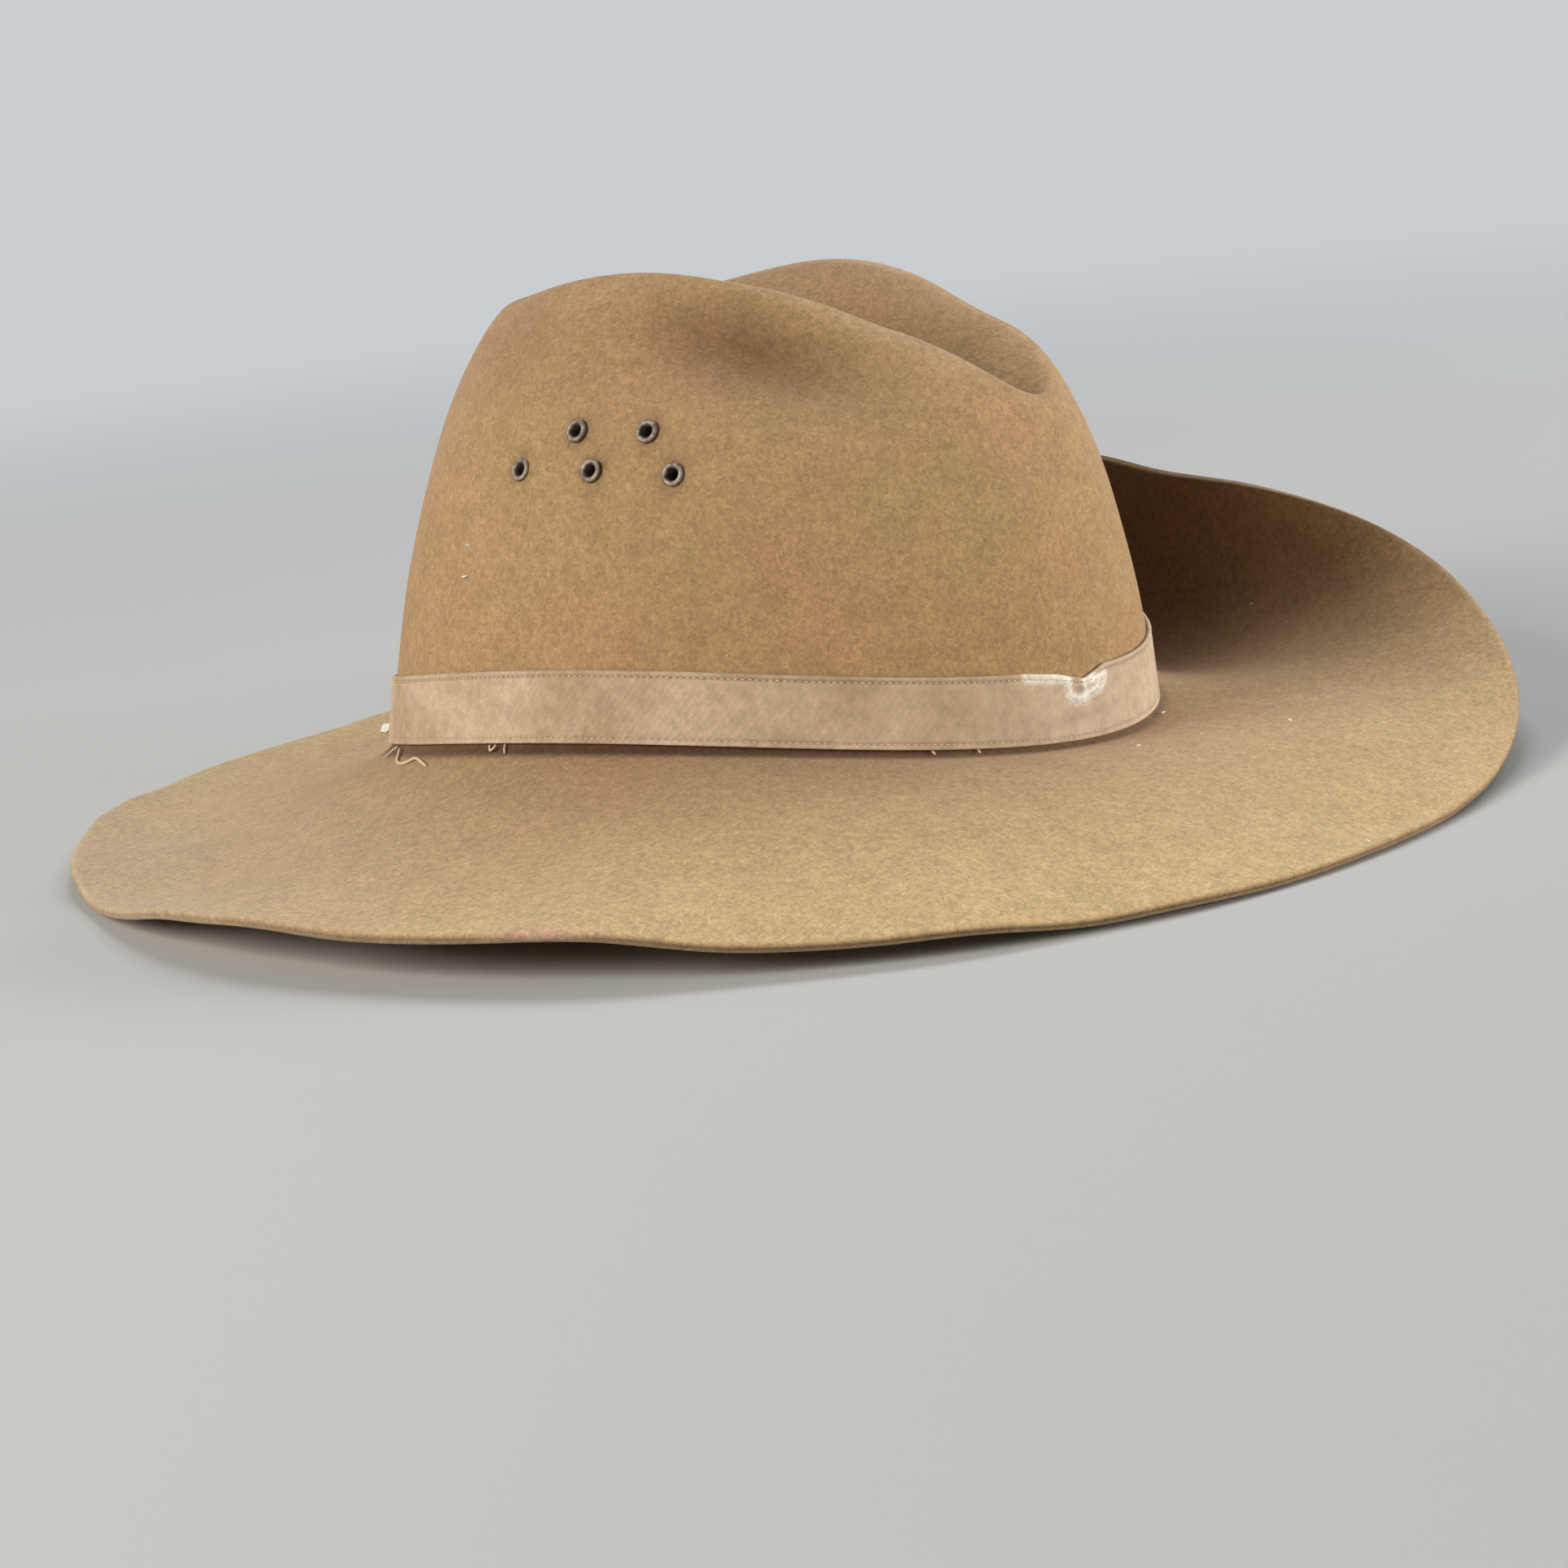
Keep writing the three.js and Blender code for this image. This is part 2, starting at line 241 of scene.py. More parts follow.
def add_node(tree, kind, inputs, output=0, **settings):
    """Adds a node with its settings. Each input gets a value, or a link where it is a socket."""
    node = tree.nodes.new(kind)
    for name, value in settings.items():
        setattr(node, name, value)
    for name, value in inputs.items():
        if isinstance(value, bpy.types.NodeSocket):
            tree.links.new(value, node.inputs[name])
        else:
            node.inputs[name].default_value = value
    return node.outputs[output] if node.outputs else node


def new_material(name):
    """An empty node material and its tree."""
    material = bpy.data.materials.new(name)
    material.use_nodes = True
    material.node_tree.nodes.clear()
    return material, material.node_tree


# Fur felt: matted fibres with a short nap, so it is dull and a little velvety at grazing angles.
# The dye took unevenly and wear has mottled it, in clouds 34 and 9 mm wide. The fibres mat in
# clumps of 1.8 mm. Single ones are finer than can show, so they are drawn in tufts of 0.8 mm.
felt, tree = new_material("fur_felt")
place = add_node(tree, "ShaderNodeTexCoord", {}, "Object")
clouds = add_node(
    tree, "ShaderNodeTexNoise", {"Vector": place, "Scale": 1000 / 34, "Detail": 3}
)
mottle = add_node(
    tree, "ShaderNodeTexNoise", {"Vector": place, "Scale": 1000 / 9, "Detail": 4, "Roughness": 0.6}
)
clumps = add_node(
    tree,
    "ShaderNodeTexNoise",
    {"Vector": place, "Scale": 1000 / 1.8, "Detail": 1, "Distortion": 1},
)
tufts = add_node(
    tree,
    "ShaderNodeTexNoise",
    {"Vector": place, "Scale": 1000 / 0.8, "Detail": 2, "Roughness": 0.6, "Distortion": 1.2},
)
cloud_share = add_node(tree, "ShaderNodeMapRange", {"Value": clouds, 1: 0.3, 2: 0.7})
colour = add_node(
    tree,
    "ShaderNodeMix",
    {0: cloud_share, 6: linear("#ab9067"), 7: linear("#b18f6b")},
    2,
    data_type="RGBA",
)
# Colours that the masks below mix in. The third is painted shade, where shade falls in the felt's
# folds, hollows and corners, and the fourth a painted shadow along the line below the band.
FELT_TINTS = [
    ("faded", "#d4bd8f"), ("greyed", "#cdc3b0"), ("painted_shade", "#5c3921"), ("painted_band_shadow", "#432a1b"),
    ("scuffed", "#cfa890"),
]
for mask, tint in FELT_TINTS:
    share = add_node(tree, "ShaderNodeAttribute", {}, "Fac", attribute_name=mask)
    colour = add_node(
        tree, "ShaderNodeMix", {0: share, 6: colour, 7: linear(tint)}, 2, data_type="RGBA"
    )
mottle_shade = add_node(
    tree, "ShaderNodeMapRange", {"Value": mottle, 1: 0.3, 2: 0.7, 3: 0.93, 4: 1.07}
)
clump_shade = add_node(
    tree, "ShaderNodeMapRange", {"Value": clumps, 1: 0.3, 2: 0.7, 3: 0.86, 4: 1.14}
)
tuft_shade = add_node(
    tree, "ShaderNodeMapRange", {"Value": tufts, 1: 0.3, 2: 0.7, 3: 0.79, 4: 1.21}
)
shade = add_node(
    tree, "ShaderNodeMath", {0: mottle_shade, 1: clump_shade}, operation="MULTIPLY"
)
shade = add_node(tree, "ShaderNodeMath", {0: shade, 1: tuft_shade}, operation="MULTIPLY")
colour = add_node(
    tree, "ShaderNodeVectorMath", {0: colour, "Scale": shade}, operation="SCALE"
)
nap = add_node(
    tree, "ShaderNodeBump", {"Strength": 0.7, "Distance": 0.00025, "Height": tufts}
)
skin = add_node(
    tree,
    "ShaderNodeBsdfPrincipled",
    {
        "Base Color": colour,
        "Roughness": 0.95,
        "Specular IOR Level": 0.15,
        "Sheen Weight": 0.12,
        "Sheen Roughness": 0.5,
        "Normal": nap,
    },
)
add_node(tree, "ShaderNodeOutputMaterial", {"Surface": skin})

# Upper side of the felt, row by row from the rim over the brim and up the crown to the crease
TURN_STEPS = 400
BRIM_ROWS = 45
FILLET_ROWS = 5
WALL_ROWS = 40
TOP_ROWS = 22
turns = np.arange(TURN_STEPS) / TURN_STEPS
steps = np.arange(TURN_STEPS)
root_share = ROOT_FILLET / BRIM_WIDTH
brim_shares = 1 - np.linspace(0, 1, BRIM_ROWS + 1)[:-1] ** 1.1 * (1 - root_share)
wall_start = wall_share_at(turns, ROOT_FILLET)
brim_end = brim_point(turns, root_share + 0 * turns)
wall_end = wall_point(turns, wall_start)
brim = [brim_point(turns, s + 0 * turns) for s in brim_shares]
fillet = [
    (1 - s) ** 2 * brim_end + 2 * s * (1 - s) * root_point(turns) + s**2 * wall_end
    for s in np.linspace(0, 1, FILLET_ROWS)
]
wall_shares = np.linspace(0, 1, WALL_ROWS + 2)[1:-1]
wall = [wall_point(turns, wall_start + (1 - wall_start) * s) for s in wall_shares]
top = [top_point(turns, s + 0 * turns) for s in np.linspace(1, 0, TOP_ROWS)]
sections = np.array([*brim, *fillet, *wall, *top])
rows = np.arange(len(sections) * TURN_STEPS).reshape(-1, TURN_STEPS)
rows[-1] = rows[-1][np.minimum(steps, (-steps) % TURN_STEPS)]
upper = sections.reshape(-1, 3)
upper_faces = grid_faces(rows, closed=True)
row_turns = np.tile(turns, len(sections))
crown_rows = len(sections) - BRIM_ROWS
brim_share = np.concatenate([np.repeat(brim_shares, TURN_STEPS), np.zeros(crown_rows * TURN_STEPS)])
on_brim = brim_share > 0

# Handling leaves the felt slightly uneven, in waves that run every way, except under the band:
# up to 1.2 mm high on the crown and 1.6 mm at the rim
WAVES = 9
SHORTEST_WAVE = 30
LONGEST_WAVE = 70
CROWN_UNEVENNESS = 1.2
RIM_UNEVENNESS = 1.6
chance = np.random.default_rng(5)
wave_ways = chance.normal(size=(WAVES, 3))
wave_ways /= np.linalg.norm(wave_ways, axis=1, keepdims=True)
wave_ways *= 2 * np.pi / chance.uniform(SHORTEST_WAVE, LONGEST_WAVE, (WAVES, 1))
uneven = np.sin(upper @ wave_ways.T + chance.uniform(0, 6, WAVES)).mean(axis=1)
above_band = np.clip((upper[:, 2] - 22) / 20, 0, 1)
uneven *= CROWN_UNEVENNESS * above_band + RIM_UNEVENNESS * brim_share

# Vent eyelets: where round the crown, and height above the root as a share of the crown's
EYELET_PLACES = [(265.5, 0.646), (279, 0.64), (255.25, 0.576), (270, 0.564), (284.75, 0.556)]


def eyelet_axes(at, level):
    """Middle of an eyelet on the wall and three directions: along it, up it and square to it."""
    turn = np.array([at / 360])
    share = wall_share_at(turn, level * CROWN_HEIGHT)
    middle = wall_point(turn, share)[0]
    along = wall_point(turn + 0.002, share)[0] - middle
    upwards = wall_point(turn, share + 0.002)[0] - middle
    square = np.cross(along, upwards)
    square /= np.linalg.norm(square)
    along /= np.linalg.norm(along)
    return middle, along, np.cross(square, along), square


eyelet_middles = np.array([eyelet_axes(*place)[0] for place in EYELET_PLACES])
from_eyelet = np.linalg.norm(upper[:, None] - eyelet_middles, axis=-1).min(axis=1)

# Sun has faded the brim towards its rim and greyed it at the back. Painted shade darkens the
# foot of the crown, the fold on the left and the valley and rim before it, the crease, the
# hollow beside it and a patch high at the back, and the felt round the eyelets. A painted
# shadow, the darkest, lies along the line below the band.
level = upper[:, 2] / CROWN_HEIGHT
faded = brim_share**1.3 * (0.38 + 0.3 * bell(row_turns, 325, 52))
greyed = 0.36 * brim_share**0.6 * bell(row_turns, 225, 38)
foot_shade = 0.12 * np.exp(-((brim_share / 0.3) ** 2)) * on_brim
from_root = np.linalg.norm(upper - root_point(row_turns), axis=-1)
# Painted shadow of the band's lower edge on the felt below it, darkest on the near side
painted_band_shadow = 0.9 * np.exp(-((from_root / 3) ** 6)) * (0.4 + 0.6 * bell(row_turns, 280, 75))
fold_shade = 0.85 * bell(row_turns, 76, 28) * on_brim
valley_shade = 0.3 * bell(row_turns, 58, 18) * np.exp(-(((brim_share - 0.25) / 0.2) ** 2)) * on_brim
front_rim_shade = 0.12 * bell(row_turns, 26, 14) * brim_share
# Painted shade in the groove below the near ridge
hollow_level = 0.86 - 0.11 * np.clip((row_turns * 360 - 283) / 28, -0.5, 1.5)
hollow = 0.6 * np.exp(-(((level - hollow_level) / 0.075) ** 2)) * bell(row_turns, 293, 22)
in_crease = np.arange(len(upper)) >= (len(sections) - TOP_ROWS + 2) * TURN_STEPS
crease_shade = 0.22 * in_crease * (1 - bell(row_turns, 0, 45))
eyelet_shade = 0.75 * np.exp(-((from_eyelet / 3.4) ** 2))
back_shade = 0.22 * np.exp(-(((level - 0.88) / 0.13) ** 2)) * bell(row_turns, 238, 24)
brim_shade = np.minimum(fold_shade + valley_shade + front_rim_shade, 1)
crown_shade = np.maximum(hollow, back_shade) * ~on_brim
painted_shade = np.maximum.reduce([foot_shade, brim_shade, crown_shade, crease_shade, eyelet_shade])
faded *= 1 - fold_shade
scuffed = 0.7 * bell(row_turns, 286, 4) * np.exp(-(((brim_share - 1) / 0.03) ** 2))

# Both sides, the underside a thickness below the upper one, with a row between them along the
# cut rim, which is painted darker as shade, most at the front and right
upper = upper + uneven[:, None] * point_normals(upper, upper_faces)
under = upper - FELT_THICKNESS * point_normals(upper, upper_faces)
edge = (upper[rows[0]] + under[rows[0]]) / 2 + 0.35 * outward(turns)
edge_shade = 0.25 + 0.6 * bell(turns, 318, 75)
felt_masks = {
    "faded": np.concatenate([faded, 0.4 * faded, faded[rows[0]]]),
    "greyed": np.concatenate([greyed, 0.4 * greyed, greyed[rows[0]]]),
    "painted_shade": np.concatenate([painted_shade, painted_shade, edge_shade]),
    "painted_band_shadow": np.concatenate([painted_band_shadow, 0 * painted_band_shadow, 0 * painted_band_shadow[rows[0]]]),
    "scuffed": np.concatenate([scuffed, 0 * scuffed, scuffed[rows[0]]]),
}

# Where the brim rests, the felt is pressed flat: both sides move up to the floor's level
upper, under, edge = (to_frame(part) for part in (upper, under, edge))
lift = np.maximum(-under[:, 2], 0)
upper[:, 2] += lift
under[:, 2] += lift
edge[:, 2] += lift[rows[0]]
count = len(upper)
edge_rows = np.array([rows[0] + count, 2 * count + steps, rows[0]])
felt_faces = np.concatenate(
    [upper_faces, upper_faces[:, ::-1] + count, grid_faces(edge_rows, closed=True)]
)
felt_points = np.concatenate([upper, under, edge])
felt_piece = make_piece("felt", felt_points, felt_faces, felt, felt_masks)
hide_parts("felt_body")


# Vent eyelets: five metal rings in the right side of the crown, pressed through punched holes
# and rolled over on both sides of the felt. Their plating has dulled to a greyish brown.

FLANGE_RADIUS = 2.9
BARREL_RADIUS = 2.05
RING_HOLE_RADIUS = 1.55
PUNCH_RADIUS = 1.85
DRILL_REACH = 8
RING_SIDES = 40

# Aged plating: metal that tarnish and handling have roughened, so it blurs what it mirrors
plating, tree = new_material("dulled_plating")
place = add_node(tree, "ShaderNodeTexCoord", {}, "Object")
tarnish = add_node(tree, "ShaderNodeTexNoise", {"Vector": place, "Scale": 1000 / 1.2, "Detail": 3})
tarnish = add_node(tree, "ShaderNodeMapRange", {"Value": tarnish, 1: 0.35, 2: 0.65})
colour = add_node(
    tree,
    "ShaderNodeMix",
    {0: tarnish, 6: linear("#a4978a"), 7: linear("#6e6157")},
    2,
    data_type="RGBA",
)
skin = add_node(
    tree,
    "ShaderNodeBsdfPrincipled",
    {"Base Color": colour, "Metallic": 1, "Roughness": 0.65},
)
add_node(tree, "ShaderNodeOutputMaterial", {"Surface": skin})


def ring_profile():
    """Radius and height of a rolled ring: half an ellipse over each flange, a straight barrel."""
    half = np.radians(np.linspace(0, 180, 9))
    middle = (FLANGE_RADIUS + RING_HOLE_RADIUS) / 2
    reach = (FLANGE_RADIUS - RING_HOLE_RADIUS) / 2
    behind = -FELT_THICKNESS - 0.5
    front = np.stack([middle - reach * np.cos(half), 0.3 + 0.55 * np.sin(half)], axis=1)
    back_side = np.stack([middle + reach * np.cos(half), behind - 0.4 * np.sin(half)], axis=1)
    return np.array([*front, (BARREL_RADIUS, 0.3), (BARREL_RADIUS, behind), *back_side])


def drill_ends(circle, middle, square):
    """Two rings of points, out of the wall and into it, and then the middle of each."""
    reach = DRILL_REACH * square
    ring = middle + PUNCH_RADIUS * circle
    return np.array([*(ring + reach), *(ring - reach), middle + reach, middle - reach])


ring_angle = 2 * np.pi * np.arange(RING_SIDES) / RING_SIDES
profile = ring_profile()
ring_rows = np.arange(len(profile) * RING_SIDES).reshape(-1, RING_SIDES)
ring_faces = grid_faces(np.concatenate([ring_rows, ring_rows[:1]]), closed=True)[:, ::-1]
side = np.arange(RING_SIDES)
next_side = np.roll(side, -1)
outer_cap = np.stack([2 * RING_SIDES + 0 * side, side, next_side], axis=1)
inner_cap = np.stack([2 * RING_SIDES + 1 + 0 * side, next_side, side], axis=1)
inner_cap[:, 1:] += RING_SIDES
drill_sides = grid_faces(np.arange(2 * RING_SIDES).reshape(2, -1), closed=True)[:, ::-1]
drill_faces = [*drill_sides.tolist(), *outer_cap.tolist(), *inner_cap.tolist()]
drills = []
for number, eyelet_place in enumerate(EYELET_PLACES, start=1):
    middle, along, across, square = eyelet_axes(*eyelet_place)
    circle = np.cos(ring_angle)[:, None] * along + np.sin(ring_angle)[:, None] * across
    points = middle + profile[:, :1, None] * circle + profile[:, 1:, None] * square
    points = to_frame(points.reshape(-1, 3))
    eyelet = make_piece(f"eyelet_{number}", points, ring_faces, plating, {})
    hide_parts(f"vent_eyelet_{number}")
    drill_mesh = bpy.data.meshes.new("drill")
    drill_mesh.from_pydata(to_frame(drill_ends(circle, middle, square)), [], drill_faces)
    drill = bpy.data.objects.new("drill", drill_mesh)
    bpy.context.scene.collection.objects.link(drill)
    drills.append(drill)
    hole = felt_piece.modifiers.new("hole", "BOOLEAN")
    hole.operation = "DIFFERENCE"
    hole.solver = "EXACT"
    hole.object = drill

# The punched felt takes the place of the whole one, and the drills go
evaluated = felt_piece.evaluated_get(bpy.context.evaluated_depsgraph_get())
punched = bpy.data.meshes.new_from_object(evaluated)
felt_piece.modifiers.clear()
felt_piece.data = punched
for drill in drills:
    bpy.data.objects.remove(drill)


# Band: a cotton tape 17 mm wide, sewn flat round the foot of the crown along both edges. It is
# woven in twill and has faded to a pinkish tan, and painted light makes it palest at the front.
# There its top edge is caught down, and the cloth has frayed to its white core.

BAND_HEIGHT = 16.8
BAND_SEAT = 1.2
BAND_THICKNESS = 1
BAND_CLEARANCE = 0.3
BAND_LENGTH = 580
STITCH_INSET = 1.3
BAND_STEPS = 1160
NOTCH_AT = 349.5

# Cotton twill: spun yarns in steep ribs 0.75 mm apart, dull, a little hairy, and unevenly faded
# in clouds of 22 mm, with smudges of 2.6 mm. The yarns' own slubs are about 0.8 mm long.
tape, tree = new_material("cotton_twill_tape")
place = add_node(tree, "ShaderNodeTexCoord", {}, "Object")
cloth = add_node(tree, "ShaderNodeUVMap", {}, uv_map="cloth")
ribs_way = add_node(
    tree, "ShaderNodeMapping", {"Vector": cloth, "Rotation": (0, 0, np.radians(38))}
)
ribs = add_node(
    tree,
    "ShaderNodeTexWave",
    {
        "Vector": ribs_way,
        "Scale": 1000 / 0.75 / (2 * np.pi),
        "Distortion": 1.5,
        "Detail": 1,
        "Detail Scale": 2,
    },
    "Fac",
)
clouds = add_node(tree, "ShaderNodeTexNoise", {"Vector": place, "Scale": 1000 / 22, "Detail": 3})
slubs = add_node(tree, "ShaderNodeTexNoise", {"Vector": place, "Scale": 1000 / 0.8, "Detail": 2})
cloud_share = add_node(tree, "ShaderNodeMapRange", {"Value": clouds, 1: 0.38, 2: 0.62})
slub_share = add_node(tree, "ShaderNodeMapRange", {"Value": slubs, 1: 0.3, 2: 0.7, 3: 0, 4: 0.4})
colour = add_node(
    tree,
    "ShaderNodeMix",
    {0: cloud_share, 6: linear("#d3bda4"), 7: linear("#b8a184")},
    2,
    data_type="RGBA",
)
colour = add_node(
    tree,
    "ShaderNodeMix",
    {0: slub_share, 6: colour, 7: linear("#a98f74")},
    2,
    data_type="RGBA",
)
# The first colour is painted light, paler where light falls on the front, and the second and third are
# painted shade, along the seams and in the crease.
TAPE_TINTS = [
    ("front_light", "#e8dccf"), ("seam_shade", "#8a6f56"), ("crease_and_tear_shade", "#86705a"), ("frayed", "#f8f6ef"),
]
for mask, tint in TAPE_TINTS:
    share = add_node(tree, "ShaderNodeAttribute", {}, "Fac", attribute_name=mask)
    colour = add_node(
        tree, "ShaderNodeMix", {0: share, 6: colour, 7: linear(tint)}, 2, data_type="RGBA"
    )
smudges = add_node(tree, "ShaderNodeTexNoise", {"Vector": place, "Scale": 1000 / 2.6, "Detail": 2})
shade = add_node(tree, "ShaderNodeMapRange", {"Value": smudges, 1: 0.3, 2: 0.7, 3: 0.88, 4: 1.12})
colour = add_node(
    tree, "ShaderNodeVectorMath", {0: colour, "Scale": shade}, operation="SCALE"
)
weave = add_node(
    tree, "ShaderNodeBump", {"Strength": 0.5, "Distance": 0.0001, "Height": ribs}
)
skin = add_node(
    tree,
    "ShaderNodeBsdfPrincipled",
    {
        "Base Color": colour,
        "Roughness": 0.88,
        "Specular IOR Level": 0.2,
        "Sheen Weight": 0.1,
        "Normal": weave,
    },
)
add_node(tree, "ShaderNodeOutputMaterial", {"Surface": skin})


def from_notch(turn):
    """Millimetres round the band from the notch in its top edge."""
    return ((turn * 360 - NOTCH_AT + 180) % 360 - 180) * BAND_LENGTH / 360


def band_height(turn, level):
    """Height above the root of a level across the tape, 0 at its bottom edge and 1 at its top,
    which dips to the notch along straight lines."""
    dip = np.interp(from_notch(turn), [-19, -9.5, 0, 9], [0, 0.7, 2.6, 0])
    return BAND_SEAT + BAND_HEIGHT * level - dip * level**2


def band_rise(turn, level):
    """How far the tape's face stands off the wall: hollow between its sewn edges, drawn in along
    the stitches where it isn't frayed, and puckered in folds that fan out below the notch."""
    across = BAND_HEIGHT * level
    down = BAND_HEIGHT - across
    hollow = -0.25 * (1 - (2 * level - 1) ** 2)
    seams = np.exp(-(((across - STITCH_INSET) / 0.4) ** 2))
    seams = seams + np.exp(-(((down - STITCH_INSET) / 0.4) ** 2))
    along = from_notch(turn)
    seams = seams * (1 - np.exp(-(((along + 5) / 14) ** 6)))
    near = np.exp(-((along / 13) ** 2) - (down / 10) ** 2)
    fan = np.cos(np.arctan2(down + 1, along) * 7) * np.minimum(np.hypot(along, down) / 4, 1)
    return BAND_CLEARANCE + BAND_THICKNESS + hollow - 0.28 * seams + 0.5 * near * fan


def band_point(turn, level):
    """Point on the tape's face, on the wall at its height and off it by its rise."""
    share = wall_share_at(turn, band_height(turn, level))
    return wall_point(turn, share) + band_rise(turn, level)[..., None] * outward(turn)


def band_edge(level, off):
    """Row of tape points at a level and a distance off the wall."""
    share = wall_share_at(band_turns, band_height(band_turns, level + 0 * band_turns))
    return wall_point(band_turns, share) + off * outward(band_turns)


band_turns = np.arange(BAND_STEPS) / BAND_STEPS
seam_level = STITCH_INSET / BAND_HEIGHT
seam_levels = seam_level + np.array([-0.065, -0.047, -0.027, -0.012, 0, 0.013, 0.028, 0.053])
inner_levels = np.linspace(0.18, 0.82, 9)
face_levels = np.concatenate([seam_levels, inner_levels, 1 - seam_levels[::-1]])
face = [band_point(band_turns, level + 0 * band_turns) for level in face_levels]
half_way = BAND_CLEARANCE + BAND_THICKNESS / 2
bottom_rows = [band_edge(0.01, BAND_CLEARANCE), band_edge(0, half_way)]
top_rows = [band_edge(1, half_way), band_edge(0.99, BAND_CLEARANCE)]
band_points = np.array([*bottom_rows, *face, *top_rows])
band_rows = np.arange(len(band_points) * BAND_STEPS).reshape(-1, BAND_STEPS)
band_rows = np.concatenate([band_rows, band_rows[:1]])
band_levels = np.concatenate([[0, 0], face_levels, [1, 1]])
turn_grid, level_grid = np.meshgrid(band_turns, band_levels)
across = BAND_HEIGHT * level_grid
# Painted shade along both rows of stitches, darker along the top one
low_seam = np.exp(-(((across - STITCH_INSET) / 0.25) ** 2))
high_seam = np.exp(-(((BAND_HEIGHT - across - STITCH_INSET) / 0.25) ** 2))
seam_shade = 0.35 * low_seam + 0.85 * high_seam

# The fraying runs along the top seam and round a small hook: turn in degrees and height above
# the root
FRAY_LINE = np.array([
    (337.5, 17.2), (341.3, 16.8), (345.5, 15.9), (345.6, 13.4), (346.3, 11.2), (348.3, 11.1),
    (350.8, 11.7), (353, 13.2), (355, 15), (352.3, 14.9), (349.5, 14.7),
])


def along_fray(count):
    """Places evenly spread along straight lines between the corners of the fraying."""
    place = np.linspace(0, len(FRAY_LINE) - 1, count)
    corners = np.arange(len(FRAY_LINE))
    return np.stack([np.interp(place, corners, FRAY_LINE[:, k]) for k in (0, 1)], axis=-1)


fray = along_fray(90)
mm_along = (turn_grid[..., None] * 360 - fray[:, 0]) * BAND_LENGTH / 360
mm_up = band_height(turn_grid, level_grid)[..., None] - fray[:, 1]
frayed = np.clip(1.6 - np.hypot(mm_along, mm_up).min(axis=-1) / 1.1, 0, 1)

# A soft crease in the cloth runs out below the fraying, and a torn spot inside its hook shows
# the shaded cloth below: both are painted shade
along = from_notch(turn_grid)
crease_shade = np.exp(-(((across - 6.2 - 0.1 * along) / 1.6) ** 2) - ((along + 2) / 12) ** 2)
torn = np.exp(-(((along + 2.4) / 2) ** 2) - ((across - 12.8) / 0.9) ** 2)
crease_and_tear_shade = np.maximum(0.4 * crease_shade, torn)
# Painted light on the front of the band, where it is palest
front_light = 0.3 * bell(turn_grid, 356, 24)
band_masks = {
    "front_light": front_light.ravel(),
    "seam_shade": seam_shade.ravel(),
    "crease_and_tear_shade": crease_and_tear_shade.ravel(),
    "frayed": frayed.ravel(),
}
band_points = to_frame(band_points.reshape(-1, 3))
band_faces = grid_faces(band_rows, closed=True)
band_piece = make_piece("band", band_points, band_faces, tape, band_masks)
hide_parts("hat_band")


def set_cloth_map(piece, along, across):
    """Map of a closed grid in metres: along it by the column, and across it by the row."""
    left, low = np.meshgrid(along[:-1], across[:-1])
    right, high = np.meshgrid(along[1:], across[1:])
    corners = np.stack([left, low, right, low, right, high, left, high], axis=-1)
    layer = piece.data.uv_layers.new(name="cloth")
    layer.data.foreach_set("uv", corners.ravel())


column_places = np.linspace(0, BAND_LENGTH, BAND_STEPS + 1) / 1000
row_places = np.concatenate([band_levels, [0]]) * BAND_HEIGHT / 1000
set_cloth_map(band_piece, column_places, row_places)


# Sewing: pale cotton thread in two rows of short stitches along the tape's edges, with a knot
# and loose ends left at the back and right, and torn fibres where the tape is frayed.

STITCHES = 374
STITCH_LENGTH = 1.05
STITCH_RADIUS = 0.17

# Cotton thread: mercerised and twisted from two plies, which is finer than the render shows, so
# only its dull pale colour and the unevenness of its twist reach the eye
thread, tree = new_material("cotton_thread")
place = add_node(tree, "ShaderNodeTexCoord", {}, "Object")
twist = add_node(tree, "ShaderNodeTexNoise", {"Vector": place, "Scale": 1000 / 0.5})
colour = add_node(
    tree,
    "ShaderNodeMix",
    {0: twist, 6: linear("#cdb698"), 7: linear("#e6d5bd")},
    2,
    data_type="RGBA",
)
skin = add_node(tree, "ShaderNodeBsdfPrincipled", {"Base Color": colour, "Roughness": 0.9})
add_node(tree, "ShaderNodeOutputMaterial", {"Surface": skin})

# Undyed cotton: loose white fibres from the core of the yarns, matt and slightly cream
white_cotton, tree = new_material("undyed_cotton")
place = add_node(tree, "ShaderNodeTexCoord", {}, "Object")
fluff = add_node(tree, "ShaderNodeTexNoise", {"Vector": place, "Scale": 1000 / 0.7})
colour = add_node(
    tree,
    "ShaderNodeMix",
    {0: fluff, 6: linear("#ebe6dc"), 7: linear("#fbf9f4")},
    2,
    data_type="RGBA",
)
skin = add_node(tree, "ShaderNodeBsdfPrincipled", {"Base Color": colour, "Roughness": 0.95})
add_node(tree, "ShaderNodeOutputMaterial", {"Surface": skin})


def across_ring(ring):
    """Quads that close a ring of an even number of points, from one side to the other."""
    step = np.arange(len(ring) // 2 - 1)
    return np.stack([ring[step], ring[step + 1], ring[-2 - step], ring[-1 - step]], axis=-1)


# A way that no strand lies along, to find a side square to each strand
ASKEW = [0.31, 0.17, 0.93]
SPINDLE_SIDES = 6


